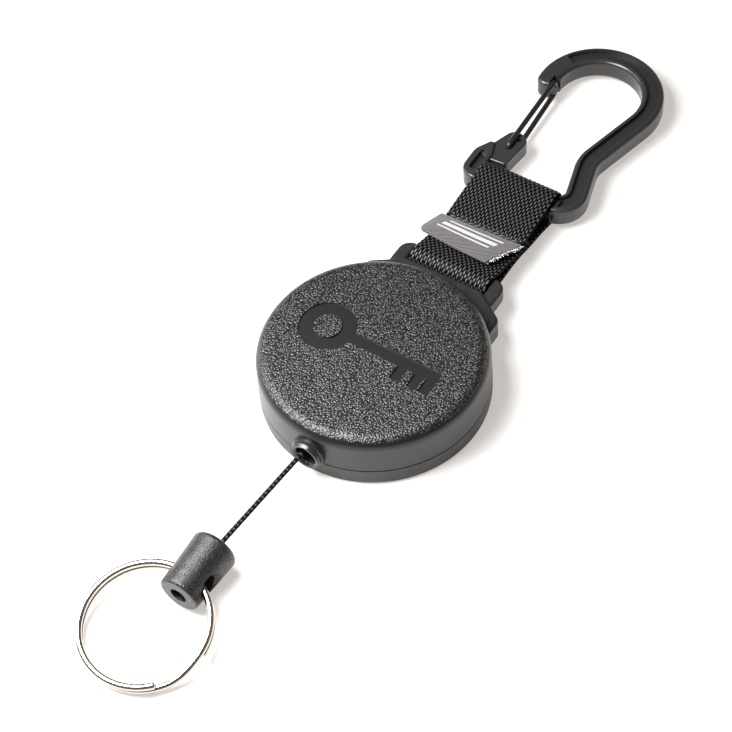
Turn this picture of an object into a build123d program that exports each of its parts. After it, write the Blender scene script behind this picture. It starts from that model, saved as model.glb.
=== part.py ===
from build123d import *
import os
from math import acos, asin, atan2, cos, degrees, hypot, pi, radians, sin

# Retractable key reel, in millimetres.
# A round case holds a sprung spool of cord. The cord leaves through an eyelet and ends in a
# conical stop that carries a split ring. A webbing strap joins the case to a wire-gate carabiner.
# Origin: centre of the case's flat back. +Z leaves the face, +Y points to the carabiner.

# ---- driving dimensions -------------------------------------------------------------------
# case
case_radius = 25.4
case_height = 14.4
wall = 1.8
floor = 1.6
seam_z = 4.8
face_edge_radius = 2.8
wall_draft = 0.25
lip_height = 1.0
lip_thickness = 0.8
seam_chamfer = 0.18
back_edge_radius = 1.0
inside_corner_radius = 1.2
front_boss, back_boss = 0.2, 0.6
front_socket, back_socket = 0.6, 0.8

# key sunk into the face
motif_depth = 0.35
bow_outer, bow_inner, bow_x = 6.4, 3.1, -11.5
shank_length, shank_width, shank_x = 22.5, 2.9, 5.4
tooth_width, tooth_length, teeth_y = 2.4, 4.4, -3.0
teeth_x = (8.4, 12.6, 15.4)

# shoulders and strap lug at the +Y end of the back shell
shoulder_half_width = 17.2
shoulder_bottom = 3.4
shoulder_top = 8.7
shoulder_side_y = 23.8
shoulder_front_y = 28.9
shoulder_front_half = 9.7
lug_half_width = 13.4
lug_arm_width = 3.3
lug_start_y = 24.5
lug_end_y = 34.0
lug_corner_radius = 3.0
lug_edge_radius = 0.7
lug_z = 6.0
lug_thickness = 4.0
lug_bar_y = 32.4
lug_bar_radius = 1.5

# cord, eyelet and winding
cord_diameter = 1.1
cord_z = 7.2
eyelet_bore = 2.35
eyelet_barrel = 3.45
eyelet_flange = 3.9
eyelet_front_y = -27.2
eyelet_back_y = -23.3
eyelet_step_y = -24.6
eyelet_ridge_y = -25.9
eyelet_ridge, eyelet_nose = 3.65, 3.4
eyelet_lip = 0.9
eyelet_inner_lip = 1.05
turns_across = 3
winding_depth = 1.85
cord_arc = 3.5
cord_corner = (-0.8, -24.2)

# spool, spring and arbor, seen along Z
arbor_radius = 2.0
spool_bore_clearance = 0.06
bush_radius = 3.0
hub_radius = 5.0
chamber_radius = 15.9
groove_root = 17.5
flange_radius = 22.8
flange_thickness = 1.0
groove_height = 3.6
rim_bottom = 2.65
web_bottom = 9.4
web_thickness = 1.2
web_holes, web_hole_radius, web_hole_circle = 6, 2.6, 10.4
anchor_circle, anchor_hole, anchor_knot_radius = 20.2, 0.7, 1.0
hub_top = 12.1
spring_turns = 9
spring_strip = 0.3
spring_inner = 3.2
spring_outer = 15.2
spring_low = 3.6
spring_high = 9.0
spring_slot, hook_slot_width = 0.6, 0.7
washer_radius, washer_gap = 4.4, 0.08

# cord stop and split ring
stop_x = -4.05
stop_z = 5.15
stop_back_y = -53.5
stop_front_y = -67.0
stop_back_radius = 5.1
stop_front_radius = 4.5
stop_bore = 1.9
stop_cord_hole = 1.0
knot_radius = 1.55
knot_y = -58.4
cross_hole_y = -62.1
cross_hole_radius = 2.35
cross_hole_flare = 1.7
stop_back_round, stop_front_round = 1.1, 0.6
ring_wire = 1.6
ring_radius = 13.5
ring_center_x = -6.5
ring_offset = 0.25
ring_gap_deg = 24.0
ring_step_deg = -48.0

# strap
strap_width = 19.7
strap_thickness = 1.2
bar_slack = 0.35
pinch_y = 46.0
pinch_z = 5.1
pinch_half = 1.8
stitch_count = 10
label_corners = [(-10.2, 45.2), (-13.2, 36.4), (7.2, 36.4), (10.3, 45.2)]
label_thickness = 0.9
label_lean = -15.5
label_hinge = (45.2, 7.3)

# carabiner and wire gate
clip_z = 4.4
clip_thickness = 5.2
clip_width = 5.3
clip_edge_radius = 1.0
channel_width, channel_depth, channel_start = 2.9, 1.0, 150.0
pocket_width, pocket_length, pocket_depth = 2.0, 6.6, 1.1
pocket_place = (-11.9, 63.6)
nose_round = 2.2
hook_center = (1.8, 96.3)
hook_radius = 12.9
nose_angle = 196.0
spine_angle = -14.5
spine_knee, spine_knee_radius = (10.0, 76.2), 9.0
spine_foot_x, spine_foot_radius = 14.4, 4.2
base_bar_y = 60.7
base_bar_size = 5.0
base_bar_round = 2.2
gate_pivot = (-8.0, 70.7)
gate_wire = 1.3
gate_end = (-9.35, 95.3)
gate_lug_top = 6.4
gate_lug_bottom = 2.4
gate_leg_gap = 0.2
gate_seat_high, gate_seat_low = 6.4, 2.4
dimple_place, dimple_radius, dimple_depth = (-6.9, 74.0), 0.55, 0.8
tongue_top, tongue_bottom = 5.55, 3.25
notch_start_y = 85.0

# ---- derived places -----------------------------------------------------------------------
inner_radius = case_radius - wall
inside_top = case_height - floor
groove_low = cord_z - groove_height / 2
groove_high = cord_z + groove_height / 2
cord_radius = cord_diameter / 2
winding_outer = groove_root + winding_depth + cord_radius
departure_radius = winding_outer + cord_radius + 0.1
clip_top = clip_z + clip_thickness / 2
clip_bottom = clip_z - clip_thickness / 2
strap_clip_inner = 3.1


def disc(radius, low, high, x=0.0, y=0.0):
    """Upright cylinder between two heights."""
    body = Cylinder(radius, high - low, align=(Align.CENTER, Align.CENTER, Align.MIN))
    return Pos(x, y, low) * body


def tube(outer, inner, low, high):
    """Upright ring between two heights."""
    return disc(outer, low, high) - disc(inner, low - 1, high + 1)


def prism(outline, low, high):
    """A flat outline in plan, raised between two heights."""
    return Pos(0, 0, low) * extrude(outline, high - low, dir=(0, 0, 1))


def lying(radius, x_low, x_high, y, z):
    """Cylinder along X."""
    rod = Rot(0, 90, 0) * Cylinder(radius, x_high - x_low, align=(Align.CENTER, Align.CENTER, Align.MIN))
    return Pos(x_low, y, z) * rod


def turned_on_y(profile_points, x, z):
    """Turned solid about a line along Y: points are (radius, y)."""
    wire = Polyline(*[(r, y, 0) for r, y in profile_points], close=True)
    return Pos(x, 0, z) * revolve(make_face(wire), Axis.Y, 360)


def rounded_polygon(points, radii):
    """Closed plan outline whose corners are rounded one by one."""
    return make_face(FilletPolyline(*points, radius=radii, close=True))


def wire_along(path, diameter):
    """Round wire or cord swept along a path of lines and arcs."""
    start = path @ 0
    section = Plane(origin=start, z_dir=path % 0) * Circle(diameter / 2)
    return sweep(section, path=path)


# ---- case ---------------------------------------------------------------------------------
def eyelet_envelope():
    """Room that the eyelet takes out of both shells."""
    within, beyond = eyelet_back_y + 1.3, eyelet_front_y - 2.8
    barrel = turned_on_y([(0, within), (eyelet_barrel, within), (eyelet_barrel, eyelet_step_y),
                          (0, eyelet_step_y)], 0, cord_z)
    flange = turned_on_y([(0, eyelet_step_y), (eyelet_flange, eyelet_step_y), (eyelet_flange, beyond),
                          (0, beyond)], 0, cord_z)
    return barrel + flange


def key_motif():
    """Plain key outline, sunk into the face."""
    low, high = case_height - motif_depth, case_height + 1
    motif = tube(bow_outer, bow_inner, low, high).moved(Location((bow_x, 0, 0)))
    motif += prism(Pos(shank_x, 0) * RectangleRounded(shank_length, shank_width, 0.6), low, high)
    for x in teeth_x:
        motif += prism(Pos(x, teeth_y) * RectangleRounded(tooth_width, tooth_length, 0.5), low, high)
    return motif


def front_shell():
    height = case_height - seam_z
    cup = Pos(0, 0, seam_z) * Cone(case_radius, case_radius - wall_draft, height,
                                   align=(Align.CENTER, Align.CENTER, Align.MIN))
    cup = fillet(cup.edges().sort_by(Axis.Z)[-1], face_edge_radius)
    cup = chamfer(cup.edges().sort_by(Axis.Z)[0], seam_chamfer)
    hollow = disc(inner_radius, seam_z - 1, inside_top)
    hollow = fillet(hollow.edges().sort_by(Axis.Z)[-1], inside_corner_radius)
    lip = tube(inner_radius + lip_thickness, inner_radius, seam_z - lip_height, seam_z)
    boss = disc(hub_radius, inside_top - front_boss, inside_top)
    socket = disc(arbor_radius, inside_top - 1, inside_top + front_socket)
    return cup - hollow + lip + boss - socket - eyelet_envelope() - key_motif()


def shoulder_outline(inset=0.0):
    """Half-hexagon block beside the case, in plan."""
    side = shoulder_half_width - inset
    corner = shoulder_side_y - inset * 0.6
    front = shoulder_front_y - inset
    points = [(-side, 10), (side, 10), (side, corner), (shoulder_front_half - inset * 0.5, front),
              (-shoulder_front_half + inset * 0.5, front), (-side, corner)]
    return rounded_polygon(points, [0.5, 0.5, 2.4, 2.0, 2.0, 2.4])


def strap_lug():
    """Two arms and a round bar that the strap turns on."""
    arm_inner = lug_half_width - lug_arm_width
    points = [(arm_inner, lug_start_y), (lug_half_width, lug_start_y), (lug_half_width, lug_end_y),
              (arm_inner, lug_end_y)]
    outline = rounded_polygon(points, [0.3, 0.3, lug_corner_radius, 0.3])
    arm = prism(outline, lug_z - lug_thickness / 2, lug_z + lug_thickness / 2)
    arm = fillet(arm.edges().filter_by(Plane.XY), lug_edge_radius)
    bar = lying(lug_bar_radius, -arm_inner - 0.6, arm_inner + 0.6, lug_bar_y, lug_z)
    return arm + mirror(arm, Plane.YZ) + bar


def shoulders():
    """Block that carries the lug, hollowed to fit round the front shell."""
    block = prism(shoulder_outline(), shoulder_bottom, shoulder_top)
    block = fillet(block.edges().group_by(Axis.Z)[-1], 0.8)
    block = chamfer(block.edges().group_by(Axis.Z)[0], 0.4)
    pad = prism(shoulder_outline(1.7), shoulder_top - 0.5, shoulder_top + 0.2)
    return block + pad


def back_shell():
    dish = disc(case_radius, 0, seam_z)
    dish = fillet(dish.edges().sort_by(Axis.Z)[0], back_edge_radius)
    dish = chamfer(dish.edges().sort_by(Axis.Z)[-1], seam_chamfer)
    fixture = shoulders() + strap_lug()
    clearance = disc(case_radius, seam_z, shoulder_top + 2)
    shell = dish + (fixture - clearance - disc(inner_radius + 1, 0, 20))
    shell = shell - disc(inner_radius, floor, seam_z + 0.01)
    shell = shell - disc(inner_radius + lip_thickness, seam_z - lip_height, seam_z + 0.01)
    boss = disc(hub_radius, floor, floor + back_boss)
    socket = disc(arbor_radius, floor - back_socket, floor + 2)
    return shell + boss - socket - eyelet_envelope()


def cord_eyelet():
    """Stepped bush with a rounded mouth at each end."""
    profile = [(0.5, eyelet_back_y), (eyelet_barrel, eyelet_back_y), (eyelet_barrel, eyelet_step_y),
               (eyelet_flange, eyelet_step_y), (eyelet_flange, eyelet_ridge_y),
               (eyelet_ridge, eyelet_ridge_y - 0.2), (eyelet_ridge, eyelet_ridge_y - 0.6),
               (eyelet_nose, eyelet_front_y), (0.5, eyelet_front_y)]
    body = turned_on_y(profile, 0, cord_z)
    length = eyelet_back_y - eyelet_front_y
    middle = (eyelet_back_y + eyelet_front_y) / 2
    bore = Pos(0, middle, cord_z) * Rot(90, 0, 0) * Cylinder(eyelet_bore, length + 2)
    body = body - bore
    mouths = [e for e in body.edges().filter_by(GeomType.CIRCLE) if abs(e.radius - eyelet_bore) < 0.01]
    body = fillet(min(mouths, key=lambda e: e.center().Y), eyelet_lip)
    inner_mouth = [e for e in body.edges().filter_by(GeomType.CIRCLE)
                   if abs(e.radius - eyelet_bore) < 0.01 and e.center().Y > eyelet_back_y - 0.1]
    return fillet(inner_mouth, eyelet_inner_lip)


# ---- spool, spring and winding --------------------------------------------------------------
def arbor():
    """Fixed post with a slot for the spring's inner end."""
    post = disc(arbor_radius, floor - back_socket, inside_top + front_socket)
    slot = Pos(0, 0, (spring_low + spring_high) / 2) * Box(10, spring_slot, spring_high - spring_low + 0.4)
    return post - slot


def spool():
    rim = tube(groove_root, chamber_radius, rim_bottom, groove_high + flange_thickness)
    low_flange = tube(flange_radius, groove_root - 0.5, groove_low - flange_thickness, groove_low)
    high_flange = tube(flange_radius, groove_root - 0.5, groove_high, groove_high + flange_thickness)
    web = tube(chamber_radius + 0.5, bush_radius, web_bottom, web_bottom + web_thickness)
    hub = tube(hub_radius, bush_radius, web_bottom, hub_top)
    body = rim + low_flange + high_flange + web + hub
    for k in range(web_holes):
        angle = 2 * pi * k / web_holes
        body -= disc(web_hole_radius, web_bottom - 1, web_bottom + 3,
                     web_hole_circle * cos(angle), web_hole_circle * sin(angle))
    body -= disc(anchor_hole, groove_high - 0.5, groove_high + 2, 0, anchor_circle)
    hook_slot = Box(2.0, hook_slot_width, spring_high - spring_low + 0.4)
    return body - Pos(spring_outer + 1.0, 0, (spring_low + spring_high) / 2) * hook_slot


def spool_bush():
    return tube(bush_radius, arbor_radius + spool_bore_clearance, web_bottom, hub_top)


def spring_cover():
    return tube(chamber_radius, arbor_radius + 0.4, rim_bottom, rim_bottom + 0.6)


def thrust_washers():
    """One washer under the spool and one over it."""
    low = tube(washer_radius, arbor_radius + 0.05, floor + back_boss, rim_bottom - washer_gap)
    high = tube(washer_radius, arbor_radius + 0.05, hub_top + washer_gap, inside_top - front_boss)
    return Compound(children=[low, high])


def power_spring():
    """Flat spiral strip between the arbor and the spool's rim."""
    steps = spring_turns * 16

    def side(offset):
        points = []
        for k in range(steps + 1):
            share = k / steps
            radius = spring_inner + (spring_outer - spring_inner) * share + offset
            angle = 2 * pi * spring_turns * share
            points.append((radius * cos(angle), radius * sin(angle)))
        return points

    inner, outer = side(-spring_strip / 2), side(spring_strip / 2)
    edges = Spline(*inner) + Line(inner[-1], outer[-1]) + Spline(*outer[::-1]) + Line(outer[0], inner[0])
    strip = prism(make_face(edges), spring_low, spring_high)
    height = spring_high - spring_low
    middle = (spring_high + spring_low) / 2
    inner_tab = Pos(spring_inner / 2 - 0.6, 0, middle) * Box(spring_inner + 1.2, spring_strip, height)
    outer_tab = Pos(spring_outer + 0.75, 0, middle) * Box(1.5, spring_strip, height)
    return strip + inner_tab + outer_tab


def cord_wound():
    """Outer shape of the cord's turns on the spool."""
    middle = winding_outer - cord_radius
    pitch = groove_height / turns_across
    band = tube(middle, groove_root, groove_low, groove_high)
    for k in range(turns_across):
        z = groove_low + pitch * (k + 0.5)
        band += Pos(0, 0, z) * Torus(middle, cord_radius)
    return band


def cord_anchor_knot():
    """Knot that holds the cord's inner end on the spool's flange."""
    height = groove_high + flange_thickness + anchor_knot_radius
    return Pos(0, anchor_circle, height) * Sphere(anchor_knot_radius)


def knot_face():
    """Point where the free cord meets its knot."""
    return Vector(stop_x, knot_y + knot_radius - 0.1, stop_z)


def cord_route():
    """Free cord: off the winding, round the eyelet's inner lip, straight to the stop."""
    corner = Vector(*cord_corner, cord_z)
    away = acos(departure_radius / hypot(corner.X, corner.Y))
    angle = atan2(corner.Y, corner.X) - away
    departure = Vector(departure_radius * cos(angle), departure_radius * sin(angle), cord_z)
    return [departure, corner, knot_face()]


def cord_free():
    points = cord_route()
    path = FilletPolyline(*points, radius=cord_arc)
    turn = (points[1] - points[0]).get_angle(points[2] - points[1])
    solid = wire_along(path, cord_diameter)
    expected = pi * cord_radius ** 2 * path.length
    print(f"cord_free: {path.length:.2f} mm, turn {turn:.1f} deg, arc radius {cord_arc} mm")
    print(f"cord_free: volume over section times length {solid.volume / expected:.4f}")
    return solid


def cord_knot():
    knot = Pos(stop_x, knot_y, stop_z) * Sphere(knot_radius)
    return knot - wire_along(Line(knot_face(), cord_route()[1]), cord_diameter)


# ---- cord stop and split ring ---------------------------------------------------------------
def cord_stop():
    """Blunt cone with the knot's bore along it and the ring's hole across it."""
    length = stop_back_y - stop_front_y
    cone = Rot(90, 0, 0) * Cone(stop_back_radius, stop_front_radius, length)
    cone = Pos(stop_x, (stop_back_y + stop_front_y) / 2, stop_z) * cone
    cone = fillet(cone.edges().sort_by(Axis.Y)[-1], stop_back_round)
    cone = fillet(cone.edges().sort_by(Axis.Y)[0], stop_front_round)
    bore_end = knot_y + knot_radius + 0.15
    mouth_y, beyond = stop_front_y - 1, stop_back_y + 3.5
    bore = turned_on_y([(0, mouth_y), (stop_bore, mouth_y), (stop_bore, bore_end), (0, bore_end)],
                       stop_x, stop_z)
    cord_hole = turned_on_y([(0, bore_end), (stop_cord_hole, bore_end), (stop_cord_hole, beyond),
                             (0, beyond)], stop_x, stop_z)
    cross = lying(cross_hole_radius, stop_x - 8, stop_x + 8, cross_hole_y, stop_z)
    body = cone - bore - cord_hole - cross
    for turn in (90, -90):
        mouth = Cone(cross_hole_radius, cross_hole_radius + cross_hole_flare, cross_hole_flare,
                     align=(Align.CENTER, Align.CENTER, Align.MIN))
        reach = stop_front_radius - 0.75
        body -= Pos(stop_x, cross_hole_y, stop_z) * Rot(0, turn, 0) * Pos(0, 0, reach) * mouth
    return body


def split_ring():
    """Two coils of one wire, joined by a step and leaning from the table up to the stop."""
    half = ring_wire / 2 - 0.03
    gap = ring_gap_deg
    step_at = ring_step_deg
    section = Circle(ring_wire / 2)

    def coil(z, start, sweep_deg):
        plane = Plane(origin=(0, 0, 0), x_dir=(cos(radians(start)), sin(radians(start)), 0),
                      z_dir=(sin(radians(start)), -cos(radians(start)), 0))
        return revolve(plane * Pos(ring_radius, z) * section, Axis.Z, sweep_deg)

    def on_ring(angle, z):
        return Vector(ring_radius * cos(radians(angle)), ring_radius * sin(radians(angle)), z)

    upper = coil(half, step_at + gap / 2, 360 - gap)
    lower = coil(-half, step_at - gap / 2 + gap, 360 - gap)
    step = wire_along(Line(on_ring(step_at - gap / 2, -half), on_ring(step_at + gap / 2, half)), ring_wire)
    ends = Pos(*on_ring(step_at - gap / 2, -half)) * Sphere(ring_wire / 2)
    ends += Pos(*on_ring(step_at + gap / 2, half)) * Sphere(ring_wire / 2)
    ring = upper + lower + step + ends
    drop = (stop_z - ring_wire * 0.99 - 0.03) / (2 * ring_radius - ring_offset)
    tilt = degrees(asin(drop))
    placed = Pos(ring_center_x, ring_offset - ring_radius, 0) * ring
    return Pos(0, cross_hole_y, stop_z) * Rot(tilt, 0, 0) * placed


# ---- strap ----------------------------------------------------------------------------------
def hull_face(*shapes):
    """Convex outline round several flat shapes."""
    edges = [edge for shape in shapes for edge in shape.edges()]
    return make_hull(edges)


def webbing_strap():
    """Closed loop of webbing, pinched in the middle, plain outside shape."""
    lug_inner = lug_bar_radius + bar_slack
    lug_end = Pos(lug_bar_y, lug_z) * Circle(lug_inner + strap_thickness)
    clip_end = Pos(base_bar_y, clip_z) * Circle(strap_clip_inner + strap_thickness)
    middle = Pos(pinch_y, pinch_z) * Rectangle(0.6, 2 * pinch_half)
    outline = hull_face(lug_end, middle) + hull_face(middle, clip_end)
    outline -= Pos(lug_bar_y, lug_z) * Circle(lug_inner)
    outline -= Pos(base_bar_y, clip_z) * Circle(strap_clip_inner)
    side = Plane(origin=(-strap_width / 2, 0, 0), x_dir=(0, 1, 0), z_dir=(1, 0, 0))
    return extrude(side * outline, strap_width, dir=(1, 0, 0))


def strap_stitches():
    """Row of thread stitches across the pinch."""
    pitch = (strap_width - 2.0) / stitch_count
    top = pinch_z + pinch_half
    stitch = Pos(0, pinch_y, top + 0.24) * Box(pitch * 0.72, 0.5, 0.3)
    stitch = fillet(stitch.edges().filter_by(Axis.X), 0.12)
    places = [pitch * (k + 0.5 - stitch_count / 2) for k in range(stitch_count)]
    return Compound(children=[Pos(x, 0, 0) * stitch for x in places])


def label():
    """Folded label, sewn in at the stitches, its free edge standing off the strap."""
    hinge_y, hinge_z = label_hinge
    plate = prism(rounded_polygon(label_corners, [0.5] * 4), 0, label_thickness)
    return Pos(0, hinge_y, hinge_z) * Rot(label_lean, 0, 0) * Pos(0, -hinge_y, 0) * plate


# ---- carabiner ------------------------------------------------------------------------------
def on_hook(angle, radius=hook_radius):
    return (hook_center[0] + radius * cos(radians(angle)), hook_center[1] + radius * sin(radians(angle)))


def clip_spine(first_angle, last_x):
    """Centre line of hook, spine and base bar."""
    arc = CenterArc(hook_center, hook_radius, first_angle, spine_angle - first_angle)
    points = [on_hook(spine_angle), spine_knee, (spine_foot_x, base_bar_y), (last_x, base_bar_y)]
    spine = FilletPolyline(*points, radius=[spine_knee_radius, spine_foot_radius])
    return Wire([arc] + spine.edges())


def channel():
    """Sunk channel along both faces of the hook and spine."""
    groove = trace(clip_spine(channel_start, -8.0), channel_width)
    high = prism(groove, clip_top - channel_depth, clip_top + 1)
    low = prism(groove, clip_bottom - 1, clip_bottom + channel_depth)
    return high + low


def gate_lug():
    """Rounded corner that carries the gate's pivot."""
    corner = rounded_polygon([(-9.9, 58.2), (-14.4, 58.2), (-14.6, 66.5), (-11.8, 71.6), (-9.9, 66.8)],
                             [0.7, 3.6, 3.8, 0.9, 0.8])
    plate = rounded_polygon([(-13.4, 66.4), (-10.2, 65.4), (-5.9, 65.7), (-4.9, 75.6), (-9.8, 76.6)],
                            [0.8, 0.8, 0.8, 2.6, 2.4])
    full = prism(corner, clip_bottom, clip_top)
    full = fillet(full.edges().group_by(Axis.Z)[-1] + full.edges().group_by(Axis.Z)[0], 0.6)
    pocket = Pos(*pocket_place) * RectangleRounded(pocket_width, pocket_length, pocket_width / 2 - 0.05)
    full -= prism(pocket, clip_top - pocket_depth, clip_top + 1)
    full -= prism(pocket, clip_bottom - 1, clip_bottom + pocket_depth)
    thin = prism(plate, gate_lug_bottom, gate_lug_top)
    thin = fillet(thin.edges().group_by(Axis.Z)[-1] + thin.edges().group_by(Axis.Z)[0], 0.35)
    return full + thin


def nose_notch():
    """Room in the hook's nose for the gate's end, leaving a tongue between its legs."""
    left = gate_end[0] - gate_wire / 2 - 0.12
    beyond = gate_end[1] + gate_wire / 2 + 0.25
    before = gate_end[1] - gate_wire / 2 - 0.35
    width = 6.0
    height = 4.0
    middle_x, middle_y = left + width / 2, (notch_start_y + beyond) / 2
    cutter = Box(width, beyond - notch_start_y, height)
    over = Pos(middle_x, middle_y, tongue_top + height / 2) * cutter
    under = Pos(middle_x, middle_y, tongue_bottom - height / 2) * cutter
    through = Pos(middle_x, (before + beyond) / 2, clip_z) * Box(width, beyond - before, 10)
    return over + under + through


def carabiner_body():
    path = clip_spine(nose_angle, -11.0)
    plan = trace(path, clip_width)
    body = prism(plan, clip_bottom, clip_top)
    nose = Vector(*on_hook(nose_angle), clip_z)
    upright = body.edges().filter_by(Axis.Z).sort_by(lambda e: (e.center() - nose).length)
    body = fillet(upright[:2], nose_round)
    body = fillet(body.edges().group_by(Axis.Z)[-1] + body.edges().group_by(Axis.Z)[0], clip_edge_radius)
    keep_bar = Pos(0, base_bar_y, clip_z) * Box(2 * 10.05, 12, 12)
    bar = Pos(0, base_bar_y, clip_z) * Box(22.0, base_bar_size, base_bar_size)
    bar = fillet(bar.edges().filter_by(Axis.X), base_bar_round)
    body = body - channel() - keep_bar + bar + gate_lug()
    pivot_hole = disc(gate_wire / 2 + 0.06, 0, 10, *gate_pivot)
    dimple = disc(dimple_radius, gate_lug_top - dimple_depth, gate_lug_top + 1, *dimple_place)
    return body - nose_notch() - pivot_hole - dimple


def gate_path():
    """Bent wire: pivot end, upper leg, closed end, lower leg, pivot end."""
    px, py = gate_pivot
    ex, ey = gate_end
    high = gate_lug_top + gate_wire / 2 + gate_leg_gap
    low = gate_lug_bottom - gate_wire / 2 - gate_leg_gap
    points = [(px, py, clip_z + 0.5), (px, py, high), (ex, ey, gate_seat_high),
              (ex, ey, gate_seat_low), (px, py, low), (px, py, clip_z - 0.5)]
    return FilletPolyline(*points, radius=[0.9, 1.5, 1.5, 0.9])


def wire_gate():
    return wire_along(gate_path(), gate_wire)


# ---- write one STEP per node ------------------------------------------------------------------
nodes = {
    "front_shell": front_shell,
    "back_shell": back_shell,
    "cord_eyelet": cord_eyelet,
    "arbor": arbor,
    "spool": spool,
    "spool_bush": spool_bush,
    "spring_cover": spring_cover,
    "thrust_washers": thrust_washers,
    "power_spring": power_spring,
    "cord_wound": cord_wound,
    "cord_anchor_knot": cord_anchor_knot,
    "cord_free": cord_free,
    "cord_knot": cord_knot,
    "cord_stop": cord_stop,
    "split_ring": split_ring,
    "webbing_strap": webbing_strap,
    "strap_stitches": strap_stitches,
    "label": label,
    "carabiner_body": carabiner_body,
    "wire_gate": wire_gate,
}

os.makedirs("parts", exist_ok=True)
for name, make in nodes.items():
    export_step(make(), f"parts/{name}.step")
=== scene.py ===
"""A retractable key reel with its cord, key ring, webbing strap and carabiner, on a white studio floor."""

import math
import random

import bmesh
import bpy
import numpy as np
from mathutils import Matrix, Vector


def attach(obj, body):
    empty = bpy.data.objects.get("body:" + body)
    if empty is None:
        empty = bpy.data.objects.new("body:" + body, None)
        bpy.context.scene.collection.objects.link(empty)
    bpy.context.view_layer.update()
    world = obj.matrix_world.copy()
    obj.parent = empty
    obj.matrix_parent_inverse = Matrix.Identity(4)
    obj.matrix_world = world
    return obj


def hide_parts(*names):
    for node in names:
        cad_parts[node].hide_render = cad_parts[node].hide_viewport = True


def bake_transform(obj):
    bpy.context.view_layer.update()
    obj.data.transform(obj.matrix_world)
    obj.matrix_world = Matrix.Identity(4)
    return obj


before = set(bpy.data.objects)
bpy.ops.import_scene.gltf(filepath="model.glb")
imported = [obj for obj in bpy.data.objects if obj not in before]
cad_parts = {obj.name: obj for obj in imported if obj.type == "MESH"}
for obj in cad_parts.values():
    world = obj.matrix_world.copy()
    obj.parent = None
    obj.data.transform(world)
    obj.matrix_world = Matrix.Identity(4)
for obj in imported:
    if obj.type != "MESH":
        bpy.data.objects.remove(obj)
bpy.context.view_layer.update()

MM = 0.001                      # lengths below are in millimetres, and become metres in the mesh

# Case
MOTIF_Z = 14.25                 # below this, inside MOTIF_RADIUS, the front shell is the sunk key
MOTIF_RADIUS = 20.5
GRAIN_EDGE_Z = 13.6             # the moulded grain ends on the face's rounded edge, at this height

# Carabiner
CLIP_MIDDLE_Z = 4.4
CHANNEL_EDGE = (1.86, 1.9)      # a level surface nearer than this to the middle plane is sunk

# Cord
CORD_DIAMETER = 1.1
CORD_SIDES, CORD_STEP = 32, 0.09
BRAID_STRANDS, BRAID_PITCH = 4, 2.3
BRAID_CORE, BRAID_RIDGE = 0.92, 0.15    # shares of the cord's radius
CORD_ROUTE = [                  # off the winding, round the eyelet's inner lip, straight to the knot
    (-11.438, -17.072, 7.2),
    (-6.1, -20.65, 7.2),
    (-0.8, -24.2, 7.2),
    (-1.45, -30.75, 6.79),
    (-4.05, -56.95, 5.15),
]

# Key ring
RING_CENTRE_LINE = 13.5
RING_WIRE = 1.56
RING_LEVEL = 0.77               # each coil's distance from the ring's middle plane
RING_HOLE = (0.0, -62.1, 5.15)  # middle of the hole that the ring passes through
RING_PLACE = (-6.5, -13.25)     # ring's middle, from that hole, in its own plane
RING_TILT = 7.6
RING_START = -43.0              # angle of the upper coil's cut end; the wire runs clockwise
RING_UPPER, RING_STEP, RING_LOWER = 315.0, 37.0, 325.5
RING_SECTIONS, RING_SIDES = 520, 20
RING_WORN = (0.55, 0.8, 0.93)   # share of the wire's width in the last sections of each cut end
RING_WORN_STEP = 0.12

# Strap
STRAP_WIDTH = 19.7
STRAP_HALF = 0.40               # half the webbing's thickness without its threads' crowns
THREAD_CROWN = 0.22
LAYER_STEP = 1.2                # from one layer's middle to the next, where they are sewn together
SEAM_Y, SEAM_Z = 45.6, 5.1      # where three layers are sewn together
STRAP_END_Y = 44.4              # upper cut end
TUCKED_END_Y = 49.0             # other cut end, under the upper layer
CLIP_BAR, CLIP_TURN = (60.7, 4.4), 3.7
LUG_BAR, LUG_TURN = (32.4, 6.0), 2.45
STRAP_STEP = 0.25
SELVEDGE = 0.6                  # the webbing thins towards its edge over this width
SEAM_LINE_Y = 46.1              # where the stitches pull the upper layer in
SEAM_SPREAD, SEAM_DEPTH = 0.42, 0.55
END_SKEW = 0.035                # slope of the cut end and its seam across the strap
END_SKEW_REACH = 6.0
RIBS, RIB_COLUMNS = 34, 4
FLOAT_PITCH = 1.55              # a warp thread rises and dives once in this length

# Seam's stitches
STITCHES = 11
STITCH_MARGIN = 1.1
STITCH_RADIUS, STITCH_SIDES = 0.17, 8
STITCH_SHARE = 0.92             # a stitch's share of the pitch
STITCH_SLANT, STITCH_WANDER = 0.28, 0.05
STITCH_ROOT, STITCH_RISE = 0.12, 0.34

# Label, a tape folded once; ends of its sewn edge and of its fold
LABEL_SEWN = ((-10.3, 44.5), (10.3, 45.2))
LABEL_FOLD = ((-13.4, 37.7), (6.9, 35.8))
LABEL_SEWN_Z = 7.3
LABEL_FOLD_Z = (8.3, 9.5)
LABEL_LEAF_GAP = 0.26           # from the label's middle to the middle of a leaf
LABEL_HALF = 0.13
LABEL_WIDTH, LEAF_LENGTH = 20.5, 9.0
LABEL_COLUMNS, LEAF_ROWS, FOLD_ROWS = 137, 56, 9
LABEL_CURL_SHARE = 0.16         # the left-hand end curls under over this share of the width
LABEL_CURL = (1.3, 1.7, -0.9)   # how far that moves its corner
LABEL_LEAN = (0.24, 0.97)       # direction in Y and Z that faces out of the label
STRIPE_RELIEF = 0.05
LABEL_STRIPES = [               # across from, across to, down from, down to, as shares of a leaf
    (0.18, 0.86, 0.17, 0.23),
    (0.16, 0.84, 0.31, 0.45),
    (0.14, 0.82, 0.53, 0.59),
]

# Loose weft ends at the label's right-hand edge
FRAYED = 34
FRAYED_RADIUS, FRAYED_SIDES = 0.075, 6
FRAYED_ROOT = 0.985             # share across the label where they leave it

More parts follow.
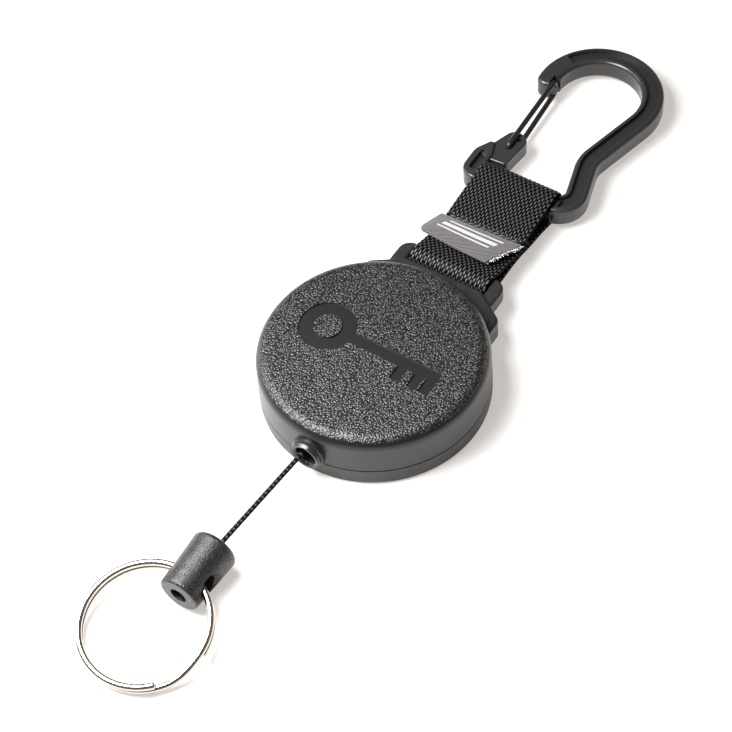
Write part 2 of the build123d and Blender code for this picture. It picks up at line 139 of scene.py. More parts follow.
# Camera
CAMERA_ANGLES = (36.929, 52.833, -5.195)    # azimuth, elevation and roll, in degrees
CAMERA_TARGET = (-5.064, 3.779, 0.0)
CAMERA_DISTANCE = 439.85
CAMERA_LENS, CAMERA_SENSOR = 98.36, 36.0    # these two stay in millimetres

# Cloth
FILAMENT = 0.09                 # the lay attribute is in millimetres, so textures on it use FILAMENT / MM
TWILL_PITCH, PICK_PITCH = 0.85, 0.3


# ---------------------------------------------------------------- meshes

def loft_faces(rings, around):
    """Quads between neighbouring rings of points, each ring closed."""
    faces = []
    for ring in range(rings - 1):
        for k in range(around):
            a = ring * around + k
            b = ring * around + (k + 1) % around
            faces.append((a, b, b + around, a + around))
    return faces


def ribbon_end_faces(start, columns):
    """Quads that close a ribbon's end, whose ring runs out along one side and back along the other."""
    last = start + 2 * columns - 1
    return [(start + k, start + k + 1, last - k - 1, last - k) for k in range(columns - 1)]


def ribbon(sides, lays):
    """Points, faces and lay of a closed ribbon, from the grids of its upper and its lower side."""
    rows, columns = sides[0].shape[:2]
    points = np.concatenate([sides[0], sides[1][:, ::-1]], axis=1)
    lay = np.concatenate([lays[0], lays[1][:, ::-1]], axis=1)
    faces = loft_faces(rows, 2 * columns)
    faces += ribbon_end_faces(0, columns)
    faces += ribbon_end_faces((rows - 1) * 2 * columns, columns)
    return points, faces, lay


def make_piece(name, points, faces, material, lay=None):
    """A smooth mesh from points in millimetres. lay is each point's place on the cloth and its height."""
    mesh = bpy.data.meshes.new(name)
    mesh.from_pydata((np.asarray(points, float).reshape(-1, 3) * MM).tolist(), [], faces)
    tidy = bmesh.new()
    tidy.from_mesh(mesh)
    bmesh.ops.recalc_face_normals(tidy, faces=tidy.faces)
    tidy.to_mesh(mesh)
    tidy.free()
    mesh.shade_smooth()
    if lay is not None:
        layer = mesh.attributes.new("lay", "FLOAT_VECTOR", "POINT")
        layer.data.foreach_set("vector", np.asarray(lay, np.float32).ravel())
    piece = bpy.data.objects.new(name, mesh)
    bpy.context.scene.collection.objects.link(piece)
    mesh.materials.append(material)
    return piece


def resample(line, spacing):
    """The same line with its points evenly spaced, and each point's distance along it."""
    steps = np.linalg.norm(np.diff(line, axis=0), axis=1)
    travelled = np.concatenate([[0.0], np.cumsum(steps)])
    count = max(2, round(travelled[-1] / spacing) + 1)
    stations = np.linspace(0.0, travelled[-1], count)
    columns = [np.interp(stations, travelled, line[:, k]) for k in range(line.shape[1])]
    return np.stack(columns, axis=1), stations


def tube(line, radii, around):
    """Rings of points round a line in space, with no twist. radii has one row for each ring."""
    headings = np.gradient(line, axis=0)
    headings /= np.linalg.norm(headings, axis=1)[:, None]
    side = np.cross(headings[0], (0.0, 0.0, 1.0))
    angles = np.arange(around) * 2 * math.pi / around
    rings = []
    for point, heading, radius in zip(line, headings, radii):
        side = side - heading * np.dot(side, heading)
        side /= np.linalg.norm(side)
        over = np.cross(heading, side)
        out = np.cos(angles)[:, None] * side + np.sin(angles)[:, None] * over
        rings.append(point + out * np.reshape(radius, (-1, 1)))
    return np.concatenate(rings)


def tube_faces(rings, around):
    """A tube's quads and its two end faces."""
    first = list(range(around))[::-1]
    last = [(rings - 1) * around + k for k in range(around)]
    return loft_faces(rings, around) + [first, last]


def threads(lines, radius, around):
    """Points and faces of many short threads, one along each line."""
    points = []
    faces = []
    for line in lines:
        start = len(points) * len(line) * around
        points.append(tube(line, np.full((len(line), around), radius), around))
        faces += [tuple(start + vertex for vertex in face) for face in tube_faces(len(line), around)]
    return np.concatenate(points), faces


# ---------------------------------------------------------------- materials

def scale_for(size):
    """Texture scale for features of that size, on coordinates in metres."""
    return 1.0 / (size * MM)


class Look:
    """A material with its principled shader, and short calls for the nodes that feed it."""

    def __init__(self, name, colour, roughness, **sockets):
        self.material = bpy.data.materials.new(name)
        self.material.use_nodes = True
        self.tree = self.material.node_tree
        self.shader = self.tree.nodes["Principled BSDF"]
        self.shader.inputs["Base Color"].default_value = (*colour, 1.0)
        self.shader.inputs["Roughness"].default_value = roughness
        for socket, value in sockets.items():
            self.shader.inputs[socket.replace("_", " ")].default_value = value

    def node(self, kind, inputs=(), **settings):
        made = self.tree.nodes.new("ShaderNode" + kind)
        for setting, value in settings.items():
            setattr(made, setting, value)
        for key, value in dict(inputs).items():
            if isinstance(value, bpy.types.NodeSocket):
                self.tree.links.new(value, made.inputs[key])
            else:
                made.inputs[key].default_value = value
        return made

    def place(self):
        """Place in the object's own frame, in metres."""
        return self.node("TexCoord").outputs["Object"]

    def split(self, vector):
        return self.node("SeparateXYZ", {0: vector}).outputs

    def math(self, operation, a, b=0.0):
        return self.node("Math", {0: a, 1: b}, operation=operation).outputs[0]

    def ramp(self, value, low, high, at_low=0.0, at_high=1.0):
        """Straight change from at_low to at_high as value goes from low to high."""
        inputs = {0: value, 1: low, 2: high, 3: at_low, 4: at_high}
        return self.node("MapRange", inputs).outputs[0]

    def noise(self, vector, size, detail=2.0):
        inputs = {"Vector": vector, "Scale": scale_for(size), "Detail": detail}
        return self.node("TexNoise", inputs).outputs["Fac"]

    def cells(self, vector, size):
        """Distance from the middle of the nearest cell, in cells."""
        inputs = {"Vector": vector, "Scale": scale_for(size), "Smoothness": 0.35}
        return self.node("TexVoronoi", inputs, feature="SMOOTH_F1").outputs["Distance"]

    def mix(self, factor, low, high):
        inputs = {"Factor": factor, 6: (*low, 1.0), 7: (*high, 1.0)}
        return self.node("Mix", inputs, data_type="RGBA").outputs[2]

    def colour(self, socket):
        self.tree.links.new(socket, self.shader.inputs["Base Color"])

    def specular(self, socket):
        self.tree.links.new(socket, self.shader.inputs["Specular IOR Level"])

    def roughness(self, socket):
        self.tree.links.new(socket, self.shader.inputs["Roughness"])

    def uneven_roughness(self, texture, low, high):
        """Roughness that wanders from low to high with a noise texture."""
        self.roughness(self.ramp(texture, 0.3, 0.7, low, high))

    def bump(self, height, depth):
        """Relief that stands depth millimetres high where height goes from 0 to 1."""
        inputs = {"Height": height, "Distance": depth * MM, "Strength": 1.0}
        self.tree.links.new(self.node("Bump", inputs).outputs[0], self.shader.inputs["Normal"])


def grained_plastic():
    """Front shell: leather grain on the face and its rounded edge, with a painted highlight on its crowns,
    satin in the sunk key and the wall.
    """
    look = Look("grained_plastic", (0.012, 0.0115, 0.0115), 0.42)
    place = look.place()
    x, y, z = look.split(place)
    squares = look.math("ADD", look.math("MULTIPLY", x, x), look.math("MULTIPLY", y, y))
    radius = look.math("SQRT", squares)
    on_face = look.ramp(z, (GRAIN_EDGE_Z - 0.1) * MM, (GRAIN_EDGE_Z + 0.1) * MM)
    below = look.ramp(z, (MOTIF_Z - 0.03) * MM, (MOTIF_Z + 0.03) * MM, 1.0, 0.0)
    inside = look.ramp(radius, (MOTIF_RADIUS - 0.1) * MM, MOTIF_RADIUS * MM, 1.0, 0.0)
    grained = look.math("SUBTRACT", on_face, look.math("MULTIPLY", below, inside))
    pebbles = look.ramp(look.cells(place, 0.46), 0.1, 0.75, 1.0, 0.0)
    grain = look.math("ADD", pebbles, look.math("MULTIPLY", look.noise(place, 0.28), 0.5))
    satin = look.math("MULTIPLY", look.noise(place, 0.15), 0.1)
    crowns = look.math("MULTIPLY", look.ramp(grain, 0.55, 1.25), grained)
    # The grain's crowns are painted paler: a painted highlight for the light that the grain catches.
    look.colour(look.mix(crowns, (0.006, 0.0055, 0.0055), (0.05, 0.0475, 0.0475)))
    look.roughness(look.ramp(grained, 0.0, 1.0, 0.34, 0.30))
    look.bump(look.math("ADD", look.math("MULTIPLY", grain, grained), satin), 0.11)
    return look.material


def satin_plastic():
    """Back shell: fine spark-eroded satin."""
    look = Look("satin_plastic", (0.013, 0.0125, 0.0125), 0.4)
    place = look.place()
    look.uneven_roughness(look.noise(place, 3.0), 0.34, 0.46)
    look.bump(look.noise(place, 0.16, 3.0), 0.012)
    return look.material


def eyelet_metal():
    """Cord eyelet: blackened metal with an uneven polish."""
    look = Look("eyelet_metal", (0.05, 0.05, 0.052), 0.3, Metallic=0.75)
    place = look.place()
    look.uneven_roughness(look.noise(place, 0.6, 3.0), 0.2, 0.38)
    look.bump(look.noise(place, 0.12), 0.006)
    return look.material


def plain_metal(name, colour, roughness):
    """Bare machined metal with a faint uneven polish."""
    look = Look(name, colour, roughness, Metallic=1.0)
    place = look.place()
    look.uneven_roughness(look.noise(place, 1.5, 4.0), roughness - 0.06, roughness + 0.08)
    look.bump(look.noise(place, 0.1), 0.003)
    return look.material


def plain_plastic(name, colour, roughness):
    """Moulded plastic of an inner piece, with faint flow marks."""
    look = Look(name, colour, roughness)
    place = look.place()
    darker = tuple(channel * 0.8 for channel in colour)
    look.colour(look.mix(look.noise(place, 4.0, 3.0), darker, colour))
    look.bump(look.noise(place, 0.2), 0.008)
    return look.material


def stop_plastic():
    """Cord stop: eggshell surface, whose fine grain sparkles where it catches the light and carries a
    painted highlight on its crowns.
    """
    look = Look("stop_plastic", (0.012, 0.0115, 0.0115), 0.4)
    place = look.place()
    finest = look.math("MULTIPLY", look.noise(place, 0.14), 0.5)
    grain = look.math("ADD", look.noise(place, 0.32), finest)
    crowns = look.ramp(grain, 0.6, 1.0)
    # The grain's crowns are painted paler: a painted highlight on its sparkle.
    look.colour(look.mix(crowns, (0.004, 0.0035, 0.0035), (0.03, 0.028, 0.028)))
    look.uneven_roughness(look.noise(place, 2.5), 0.28, 0.34)
    look.specular(look.ramp(grain, 0.5, 1.0, 0.25, 0.9))
    look.bump(grain, 0.09)
    return look.material


def clip_plastic():
    """Carabiner: semi-gloss moulding, its sunk channel a little duller, and darker with painted shade."""
    look = Look("clip_plastic", (0.022, 0.0215, 0.0215), 0.3)
    place = look.place()
    fine = look.noise(place, 0.25, 3.0)
    off_middle = look.math("SUBTRACT", look.split(place)[2], CLIP_MIDDLE_Z * MM)
    near, far = CHANNEL_EDGE
    low = look.ramp(look.math("ABSOLUTE", off_middle), near * MM, far * MM, 1.0, 0.0)
    facing = look.split(look.node("NewGeometry").outputs["Normal"])[2]
    level = look.ramp(look.math("ABSOLUTE", facing), 0.9, 0.98)
    sunk = look.math("MULTIPLY", low, level)
    # The sunk channel's floor is painted darker: painted shade in the recess.
    look.colour(look.mix(sunk, (0.022, 0.0215, 0.0215), (0.015, 0.0145, 0.0145)))
    gloss = look.ramp(sunk, 0.0, 1.0, 0.22, 0.36)
    look.roughness(look.math("ADD", gloss, look.math("MULTIPLY", fine, 0.08)))
    look.bump(fine, 0.01)
    return look.material


def black_wire():
    """Wire gate: blackened spring steel."""
    look = Look("black_wire", (0.02, 0.02, 0.021), 0.28, Metallic=0.4)
    place = look.place()
    look.uneven_roughness(look.noise(place, 0.8, 3.0), 0.2, 0.36)
    look.bump(look.noise(place, 0.15), 0.006)
    return look.material


def nickel_wire():
    """Key ring: bright nickel plate with faint handling marks."""
    look = Look("nickel_wire", (0.56, 0.52, 0.47), 0.13, Metallic=1.0)
    place = look.place()
    marks = look.noise(place, 0.5, 4.0)
    look.colour(look.mix(look.noise(place, 3.0, 3.0), (0.48, 0.43, 0.37), (0.64, 0.60, 0.55)))
    look.roughness(look.ramp(marks, 0.35, 0.7, 0.09, 0.2))
    look.bump(marks, 0.004)
    return look.material


def woven(name, gap_shade, crown_and_highlight, roughness):
    """Cloth whose threads are in the mesh: painted shade darkens it between the threads and dims its
    reflection there, and a painted highlight makes their crowns paler.
    """
    look = Look(name, crown_and_highlight, roughness)
    lay = look.node("Attribute", attribute_name="lay").outputs["Vector"]
    across, along, height = look.split(lay)
    drawn = look.node("CombineXYZ", {0: across, 1: look.math("MULTIPLY", along, 0.2)}).outputs[0]
    filaments = look.noise(drawn, FILAMENT / MM)
    crowned = look.math("MULTIPLY", height, 0.85)
    shade = look.math("ADD", crowned, look.ramp(filaments, 0.3, 0.7, -0.15, 0.15))
    # Colour runs from painted shade between the threads to the thread's colour with a painted highlight on
    # its crowns; the reflection is dimmed between them as painted shade too.
    look.colour(look.mix(look.ramp(shade, 0.3, 0.85), gap_shade, crown_and_highlight))
    look.specular(look.ramp(shade, 0.15, 0.7, 0.03, 0.5))
    look.uneven_roughness(filaments, roughness - 0.08, roughness + 0.12)
    look.bump(filaments, 0.02)
    return look.material


def woven_label():
    """Label: charcoal twill with plain pale stripes woven in, painted shade in the weave's hollows and a
    painted highlight on its ridges.
    """
    look = Look("woven_label", (0.04, 0.038, 0.042), 0.6, Sheen_Weight=0.3, Sheen_Roughness=0.4)
    lay = look.node("Attribute", attribute_name="lay").outputs["Vector"]
    across, along, stripe = look.split(lay)
    slant = look.math("ADD", look.math("MULTIPLY", across, 1.2), along)
    twill = look.math("SINE", look.math("MULTIPLY", slant, 2 * math.pi / TWILL_PITCH))
    picks = look.math("SINE", look.math("MULTIPLY", along, 2 * math.pi / PICK_PITCH))
    relief = look.math("ADD", twill, look.math("MULTIPLY", picks, 0.4))
    thread = look.ramp(relief, -0.8, 0.8)
    # Ground and stripes follow the weave's relief: painted shade in its hollows, painted highlight on its
    # ridges.
    ground = look.mix(thread, (0.004, 0.0035, 0.0045), (0.13, 0.118, 0.135))
    pale = look.mix(thread, (0.22, 0.21, 0.21), (0.70, 0.69, 0.68))
    inputs = {"Factor": look.ramp(stripe, 0.35, 0.65), 6: ground, 7: pale}
    look.colour(look.node("Mix", inputs, data_type="RGBA").outputs[2])
    look.bump(thread, 0.08)
    return look.material


def studio_white():
    """Floor: seamless card that glows a little, so that it is white where the lights reach it."""
    look = Look("studio_white", (0.5, 0.5, 0.5), 0.9)
    tone = look.noise(look.place(), 300.0)
    look.colour(look.mix(tone, (0.50, 0.495, 0.49), (0.52, 0.515, 0.51)))
    look.shader.inputs["Emission Color"].default_value = (1.0, 0.96, 0.92, 1.0)
    look.shader.inputs["Emission Strength"].default_value = 0.48
    return look.material


# ---------------------------------------------------------------- CAD pieces that keep their own shape

def finish_cad_nodes(cord_look):
    """Give each CAD node that keeps its own shape its material."""
    steel = plain_metal("plain_steel", (0.45, 0.44, 0.43), 0.3)
    spring = plain_metal("spring_steel", (0.3, 0.32, 0.36), 0.28)
    brass = plain_metal("bush_brass", (0.7, 0.5, 0.22), 0.28)
    inner = plain_plastic("spool_plastic", (0.06, 0.06, 0.062), 0.45)
    nylon = plain_plastic("washer_nylon", (0.7, 0.69, 0.64), 0.5)
    looks = {
        "front_shell": grained_plastic(),
        "back_shell": satin_plastic(),
        "cord_eyelet": eyelet_metal(),
        "arbor": steel,
        "thrust_washers": nylon,
        "power_spring": spring,
        "spool": inner,
        "spool_bush": brass,
        "spring_cover": inner,
        "cord_wound": cord_look,
        "cord_anchor_knot": cord_look,
        "cord_knot": cord_look,
        "cord_stop": stop_plastic(),
        "carabiner_body": clip_plastic(),
        "wire_gate": black_wire(),
    }
    for node, material in looks.items():
        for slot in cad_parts[node].material_slots:
            slot.material = material


# ---------------------------------------------------------------- cord

def cord_line():
    """The cord's centre line, read from a NURBS spline that its route guides."""
    curve = bpy.data.curves.new("cord_route", "CURVE")
    curve.dimensions = "3D"
    curve.resolution_u = 64
    spline = curve.splines.new("NURBS")
    spline.points.add(len(CORD_ROUTE) - 1)
    for point, place in zip(spline.points, CORD_ROUTE):
        point.co = (*(value * MM for value in place), 1.0)
    spline.order_u = 3
    spline.use_endpoint_u = True
    holder = bpy.data.objects.new("cord_route", curve)
    mesh = bpy.data.meshes.new_from_object(holder)
    line = [tuple(vertex.co) for vertex in mesh.vertices]
    bpy.data.objects.remove(holder)
    bpy.data.curves.remove(curve)
    bpy.data.meshes.remove(mesh)
    return line


def make_cord(material):
    """Braided cord: strands wind both ways round it, and stand up in low ridges where they cross."""
    path = cord_line()
    line, stations = resample(np.array(path) / MM, CORD_STEP)
    angles = np.arange(CORD_SIDES) * 2 * math.pi / CORD_SIDES
    turn = 2 * math.pi * stations[:, None] / BRAID_PITCH
    one_way = np.sin(BRAID_STRANDS * angles[None, :] + turn)
    other_way = np.sin(BRAID_STRANDS * angles[None, :] - turn)
    ridge = np.abs(one_way * other_way)
    over = (np.sign(one_way * other_way) + 1) / 2
    points = tube(line, CORD_DIAMETER / 2 * (BRAID_CORE + BRAID_RIDGE * ridge), CORD_SIDES)
    around = np.broadcast_to(angles * CORD_DIAMETER / 2, ridge.shape)
    along = np.broadcast_to(stations[:, None], ridge.shape)
    # The lay's third value is the ridge's height, lower on one set of strands: woven paints the dips with
    # painted shade and the ridges with a painted highlight, and that set is a darker strand tone.
    lay = np.stack([around, along, ridge * (0.35 + 0.65 * over)], axis=-1)
    piece = make_piece("cord", points, tube_faces(len(line), CORD_SIDES), material, lay)
    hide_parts("cord_free")
    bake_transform(piece)
    return piece, path


# ---------------------------------------------------------------- key ring

def towards(start, end, distance):
    """Point at that distance from start, on the way to end."""
    way = end - start
    return start + way / np.linalg.norm(way) * distance


def ring_line():
    """Centre line of the wire: upper coil, a step down to the lower coil, and the lower coil."""
    swept = np.linspace(0.0, RING_UPPER + RING_STEP + RING_LOWER, RING_SECTIONS)
    share = np.clip((swept - RING_UPPER) / RING_STEP, 0.0, 1.0)
    eased = share * share * (3 - 2 * share)
    angle = np.radians(RING_START - swept)
    flat = np.stack([RING_CENTRE_LINE * np.cos(angle) + RING_PLACE[0],
                     RING_CENTRE_LINE * np.sin(angle) + RING_PLACE[1],
                     RING_LEVEL * (1 - 2 * eased)], axis=1)
    tilt = Matrix.Rotation(math.radians(RING_TILT), 3, "X")
    return flat @ np.array(tilt).T + np.array(RING_HOLE)


def make_ring(material):
    """Split ring: one round wire wound nearly twice, both cut ends worn round."""
    line = ring_line()
    radii = np.full((len(line), RING_SIDES), RING_WIRE / 2)
    for k, width in enumerate(RING_WORN):
        radii[k] *= width
        radii[-1 - k] *= width
    for k in range(len(RING_WORN) - 1, -1, -1):
        line[k] = towards(line[k + 1], line[k], RING_WORN_STEP)
        line[-1 - k] = towards(line[-2 - k], line[-1 - k], RING_WORN_STEP)
    points = tube(line, radii, RING_SIDES)
    piece = make_piece("key_ring", points, tube_faces(len(line), RING_SIDES), material)
    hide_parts("split_ring")
    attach(piece, "key_ring")
    return piece


# ---------------------------------------------------------------- strap

def tangent_point(point, centre, radius, side):
    """Where a straight line from point touches a circle that it leaves on its right (1) or left (-1)."""
    across, up = centre[0] - point[0], centre[1] - point[1]
    distance = math.hypot(across, up)
    heading = math.atan2(up, across) + side * math.asin(radius / distance)
    reach = math.sqrt(distance ** 2 - radius ** 2)
    return point[0] + reach * math.cos(heading), point[1] + reach * math.sin(heading)


def clockwise_arc(centre, start, end, steps=40):
    """Points on the arc that runs clockwise round centre from start to end."""
    radius = math.dist(centre, start)
    first = math.atan2(start[1] - centre[1], start[0] - centre[0])
    last = math.atan2(end[1] - centre[1], end[0] - centre[0])
    if last > first:
        last -= 2 * math.pi
    return [(centre[0] + radius * math.cos(a), centre[1] + radius * math.sin(a))
            for a in np.linspace(first, last, steps)]


def smoothed(line, window):
    """The same line as a running mean over window points, with its two ends left in place."""
    before, after = np.repeat(line[:1], window // 2, 0), np.repeat(line[-1:], window // 2, 0)
    padded = np.concatenate([before, line, after])
    kernel = np.ones(window) / window
    mean = np.stack([np.convolve(padded[:, k], kernel, "valid") for k in range(2)], axis=1)
    mean[0], mean[-1] = line[0], line[-1]
    return mean


def strap_line():
    """Centre line in Y and Z: upper end, clip's bar, back below, lug's bar, tucked in between."""
    upper = (SEAM_Y, SEAM_Z + LAYER_STEP)
    lower = (SEAM_Y, SEAM_Z - LAYER_STEP)
    tucked = (SEAM_Y - 1.2, SEAM_Z)
    line = [(STRAP_END_Y, SEAM_Z + LAYER_STEP + 0.05), upper]
    line += clockwise_arc(CLIP_BAR, tangent_point(upper, CLIP_BAR, CLIP_TURN, 1),
                          tangent_point(lower, CLIP_BAR, CLIP_TURN, -1))
    line += [lower]
    line += clockwise_arc(LUG_BAR, tangent_point(lower, LUG_BAR, LUG_TURN, 1),
                          tangent_point(tucked, LUG_BAR, LUG_TURN, -1))
    line += [tucked, (TUCKED_END_Y, SEAM_Z)]
    return smoothed(resample(np.array(line), 0.1)[0], window=11)


def weave(along, across, flip):
    """Height of the warp's crowns, from 0 to 1: ribs along the strap, their floats laid like bricks."""
    pitch = STRAP_WIDTH / RIBS
    place = (across + STRAP_WIDTH / 2) / pitch
    rib = np.clip(np.floor(place), 0, RIBS - 1)
    bulge = np.sin(np.pi * np.clip(place - rib, 0.0, 1.0))
    phase = along / FLOAT_PITCH + 0.5 * ((rib + flip) % 2)
    crown_and_highlight = np.abs(np.sin(np.pi * phase)) ** 1.2
    return bulge * (0.04 + 0.96 * crown_and_highlight)


def strap_side(line, normals, along, wide, sign):
    """Points and lay of the webbing's upper (1) or lower (-1) side. The seam draws in the upper one."""
    selvedge = np.clip((STRAP_WIDTH / 2 - np.abs(wide)) / SELVEDGE, 0.0, 1.0)
    crowns = weave(along, wide, (1 - sign) // 2)
    half = STRAP_HALF * (0.45 + 0.55 * np.sqrt(selvedge))
    depth = half + THREAD_CROWN * crowns * (0.6 + 0.4 * selvedge)
    if sign == 1:
        seam = np.exp(-(((along - (SEAM_LINE_Y - STRAP_END_Y)) / SEAM_SPREAD) ** 2))
        depth = depth - SEAM_DEPTH * seam * selvedge
        # Lower crowns along the seam darken the colour in its groove: painted shade.
        crowns = crowns * (1 - 0.8 * seam)
    waver = 0.10 * np.sin(along / 5.3) + 0.07 * np.sin(along / 2.1 + 1.0)
    loops = 0.16 * np.abs(np.sin(np.pi * along / FLOAT_PITCH * 2)) * (1 - selvedge)
    skew = END_SKEW * wide * np.clip(1 - along / END_SKEW_REACH, 0.0, 1.0)
    x = wide + waver * (0.4 + 0.6 * np.abs(wide) / (STRAP_WIDTH / 2)) + np.sign(wide) * loops
    y = line[:, 0][:, None] + normals[:, 0][:, None] * (sign * depth) + skew
    z = line[:, 1][:, None] + normals[:, 1][:, None] * (sign * depth)
    return np.stack([x, y, z], axis=-1), np.stack([wide, along, crowns], axis=-1)


def make_strap(material):
    """Webbing strap, both faces woven in the mesh, drawn in along the seam."""
    line, stations = resample(strap_line(), STRAP_STEP)
    tangents = np.gradient(line, axis=0)
    tangents /= np.linalg.norm(tangents, axis=1)[:, None]
    normals = np.stack([-tangents[:, 1], tangents[:, 0]], axis=1)
    across = np.linspace(-STRAP_WIDTH / 2, STRAP_WIDTH / 2, RIB_COLUMNS * RIBS + 1)
    along, wide = np.meshgrid(stations, across, indexing="ij")
    sides, lays = zip(*(strap_side(line, normals, along, wide, sign) for sign in (1, -1)))
    points, faces, lay = ribbon(sides, lays)
    piece = make_piece("strap", points, faces, material, lay)
    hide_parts("webbing_strap")
    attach(piece, "strap")
    return piece, stations[-1]


def make_stitches(material):
    """Seam across the strap: short slanted stitches, each diving into the webbing at both ends."""
    random.seed(7)
    pitch = (STRAP_WIDTH - 2 * STITCH_MARGIN) / STITCHES
    steps = np.linspace(0.0, 1.0, 13)
    lines = []
    for k in range(STITCHES):
        x = -STRAP_WIDTH / 2 + STITCH_MARGIN + k * pitch + steps * pitch * STITCH_SHARE
        wander = random.uniform(-STITCH_WANDER, STITCH_WANDER)
        y = SEAM_LINE_Y + END_SKEW * x + (steps - 0.5) * STITCH_SLANT + wander
        z = SEAM_Z + LAYER_STEP + STITCH_ROOT + STITCH_RISE * np.sin(np.pi * steps) ** 0.6
        lines.append(np.stack([x, y, z], axis=1))
    points, faces = threads(lines, STITCH_RADIUS, STITCH_SIDES)
    lay = np.stack([points[:, 1], points[:, 0], np.full(len(points), 0.8)], axis=1)
    piece = make_piece("seam_stitches", points, faces, material, lay)
    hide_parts("strap_stitches")
    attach(piece, "strap")
    return piece


# ---------------------------------------------------------------- label

def label_point(share, down, off):
    """Point of the label: share across from left to right, down from sewn edge to fold, off its middle."""
    sewn = [np.interp(share, (0, 1), (LABEL_SEWN[0][k], LABEL_SEWN[1][k])) for k in range(2)]
    fold = [np.interp(share, (0, 1), (LABEL_FOLD[0][k], LABEL_FOLD[1][k])) for k in range(2)]
    rise = np.interp(share, (0, 1), LABEL_FOLD_Z) - LABEL_SEWN_Z
    bow = down + 0.35 * down * (1 - down)
    curl = np.clip((LABEL_CURL_SHARE - share) / LABEL_CURL_SHARE, 0.0, 1.0) ** 2 * down
    ripple = 0.12 * np.sin(share * 7.0 + 0.6) * down
    x = sewn[0] + (fold[0] - sewn[0]) * down + curl * LABEL_CURL[0]
    y = sewn[1] + (fold[1] - sewn[1]) * down + curl * LABEL_CURL[1] + off * LABEL_LEAN[0]
    z = LABEL_SEWN_Z + rise * bow + ripple + curl * LABEL_CURL[2] + off * LABEL_LEAN[1]
    return np.stack(np.broadcast_arrays(x, y, z), axis=-1)


def label_marks(share, leaf, rows):
    """1 where a stripe is woven into the upper leaf, and 0 elsewhere."""
    marks = np.zeros((rows, len(share)))
    for left, right, top, bottom in LABEL_STRIPES:
        wide = (share > left) & (share < right)
        tall = (leaf > top) & (leaf < bottom)
        marks[:len(leaf)][np.ix_(tall, wide)] = 1.0
    return marks


def make_label(material):
    """Woven label: one tape folded once, its two leaves sewn down together along the strap's cut end."""
    share = np.linspace(0.0, 1.0, LABEL_COLUMNS)
    leaf = np.linspace(0.0, 1.0, LEAF_ROWS)
    bend = np.linspace(0.0, math.pi, FOLD_ROWS)[1:-1]
    down = np.concatenate([leaf, 1 + np.sin(bend) * LABEL_LEAF_GAP / LEAF_LENGTH, leaf[::-1]])[:, None]
    level = np.concatenate([np.ones(LEAF_ROWS), np.cos(bend), -np.ones(LEAF_ROWS)])[:, None]
    out = np.concatenate([np.zeros(LEAF_ROWS), np.sin(bend), np.zeros(LEAF_ROWS)])[:, None]
    travel = np.concatenate([leaf * LEAF_LENGTH, LEAF_LENGTH + bend * LABEL_LEAF_GAP,
                             LEAF_LENGTH * (2 - leaf[::-1]) + math.pi * LABEL_LEAF_GAP])
    marks = label_marks(share, leaf, len(down))
    across = np.broadcast_to(share * LABEL_WIDTH, marks.shape)
    along = np.broadcast_to(travel[:, None], marks.shape)
    sides = []
    lays = []
    for sign, pale in ((1, marks), (-1, 0 * marks)):
        half = LABEL_HALF * sign + STRIPE_RELIEF * pale
        off = LABEL_LEAF_GAP * level + half * level
        sides.append(label_point(share[None, :], down + half * out / LEAF_LENGTH, off))
        lays.append(np.stack([across, along, pale], axis=-1))
    points, faces, lay = ribbon(sides, lays)
    piece = make_piece("folded_label", points, faces, material, lay)
    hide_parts("label")
    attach(piece, "strap")
    return piece, travel[-1]


def make_frayed_ends(material):
    """Pale weft ends standing out of the label's cut right-hand edge."""
    random.seed(11)
    steps = np.linspace(0.0, 1.0, 7)
    lines = []
    for k in range(FRAYED):
        down = 0.05 + 0.93 * k / (FRAYED - 1)
        off = LABEL_LEAF_GAP * random.choice((1, 0.6, -1))
        root = label_point(np.float64(FRAYED_ROOT), np.float64(down), off)
        length = random.uniform(0.5, 1.15)
        lean = random.uniform(-0.5, 0.5)
        lift = random.uniform(-0.25, 0.3)
        bent = steps ** 2 * length
        lines.append(root + np.stack([steps * length, lean * bent, lift * bent], axis=1))
    points, faces = threads(lines, FRAYED_RADIUS, FRAYED_SIDES)
    lay = np.stack([points[:, 0], points[:, 1], np.full(len(points), 0.9)], axis=1)
    piece = make_piece("frayed_ends", points, faces, material, lay)
    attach(piece, "strap")
    return piece


# ---------------------------------------------------------------- studio

def camera_axes(azimuth, elevation, roll):
    """Right, up and forward of a camera that looks down at the object, in degrees."""
    turn, tip, lean = (math.radians(angle) for angle in (azimuth, elevation, roll))
    forward = Vector((-math.sin(turn) * math.cos(tip), math.cos(turn) * math.cos(tip), -math.sin(tip)))
    right = Vector((math.cos(turn), math.sin(turn), 0.0))
    up = right.cross(forward)
    rolled_right = right * math.cos(lean) + up * math.sin(lean)
    rolled_up = up * math.cos(lean) - right * math.sin(lean)
    return rolled_right, rolled_up, forward


def add_camera():
    data = bpy.data.cameras.new("camera")
    data.sensor_width = CAMERA_SENSOR
    data.lens = CAMERA_LENS
    camera = bpy.data.objects.new("camera", data)
    bpy.context.scene.collection.objects.link(camera)
    right, up, forward = camera_axes(*CAMERA_ANGLES)
    place = Vector(CAMERA_TARGET) * MM - forward * (CAMERA_DISTANCE * MM)
    turn = Matrix((right, up, -forward)).transposed().to_4x4()
    camera.matrix_world = Matrix.Translation(place) @ turn
    bpy.context.scene.camera = camera


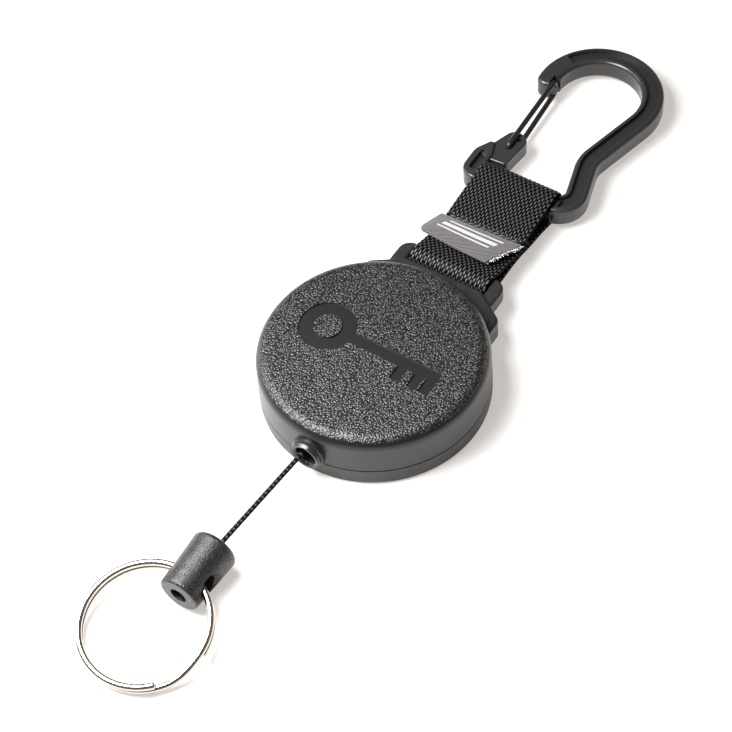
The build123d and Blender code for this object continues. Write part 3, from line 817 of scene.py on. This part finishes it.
def add_softbox(name, direction, distance, size, watts, colour):
    """Area light that faces the frame's origin from that direction, distance and size in metres."""
    data = bpy.data.lights.new(name, "AREA")
    data.shape = "RECTANGLE"
    data.size, data.size_y = size
    data.energy = watts
    data.color = colour
    light = bpy.data.objects.new(name, data)
    bpy.context.scene.collection.objects.link(light)
    away = Vector(direction).normalized()
    light.location = away * distance
    light.rotation_euler = away.to_track_quat("Z", "Y").to_euler()


def add_floor():
    reach = 3.0
    corners = [(-reach, -reach, 0.0), (reach, -reach, 0.0), (reach, reach, 0.0), (-reach, reach, 0.0)]
    mesh = bpy.data.meshes.new("studio_floor")
    mesh.from_pydata(corners, [], [(0, 1, 2, 3)])
    mesh.materials.append(studio_white())
    floor = bpy.data.objects.new("studio_floor", mesh)
    bpy.context.scene.collection.objects.link(floor)


def add_studio():
    """White floor, warm dim sky, a soft key light close above the case and a second one low on the left."""
    add_floor()
    world = bpy.data.worlds.new("studio")
    world.use_nodes = True
    sky = world.node_tree.nodes["Background"]
    sky.inputs["Color"].default_value = (1.0, 0.95, 0.90, 1.0)
    sky.inputs["Strength"].default_value = 0.2
    bpy.context.scene.world = world
    add_softbox("key", (-0.36, -0.30, 0.88), 0.25, (0.16, 0.16), 2.0, (1.0, 1.0, 1.0))
    add_softbox("left", (-0.90, -0.20, 0.45), 0.8, (0.4, 0.4), 2.0, (1.0, 0.99, 0.97))
    bpy.context.scene.view_settings.view_transform = "Standard"


# ---------------------------------------------------------------- scene

def build():
    cord_look = woven("cord_braid", (0.004, 0.004, 0.004), (0.15, 0.145, 0.14), 0.5)
    thread_look = woven("thread", (0.02, 0.02, 0.02), (0.10, 0.10, 0.10), 0.45)
    webbing = woven("webbing", (0.001, 0.001, 0.001), (0.085, 0.082, 0.08), 0.34)
    pale_thread = woven("pale_thread", (0.3, 0.3, 0.31), (0.8, 0.79, 0.8), 0.6)
    finish_cad_nodes(cord_look)
    add_camera()
    add_studio()
    cord, path = make_cord(cord_look)
    ring = make_ring(nickel_wire())
    strap, strap_length = make_strap(webbing)
    make_stitches(thread_look)
    label, label_length = make_label(woven_label())
    fray = make_frayed_ends(pale_thread)


build()
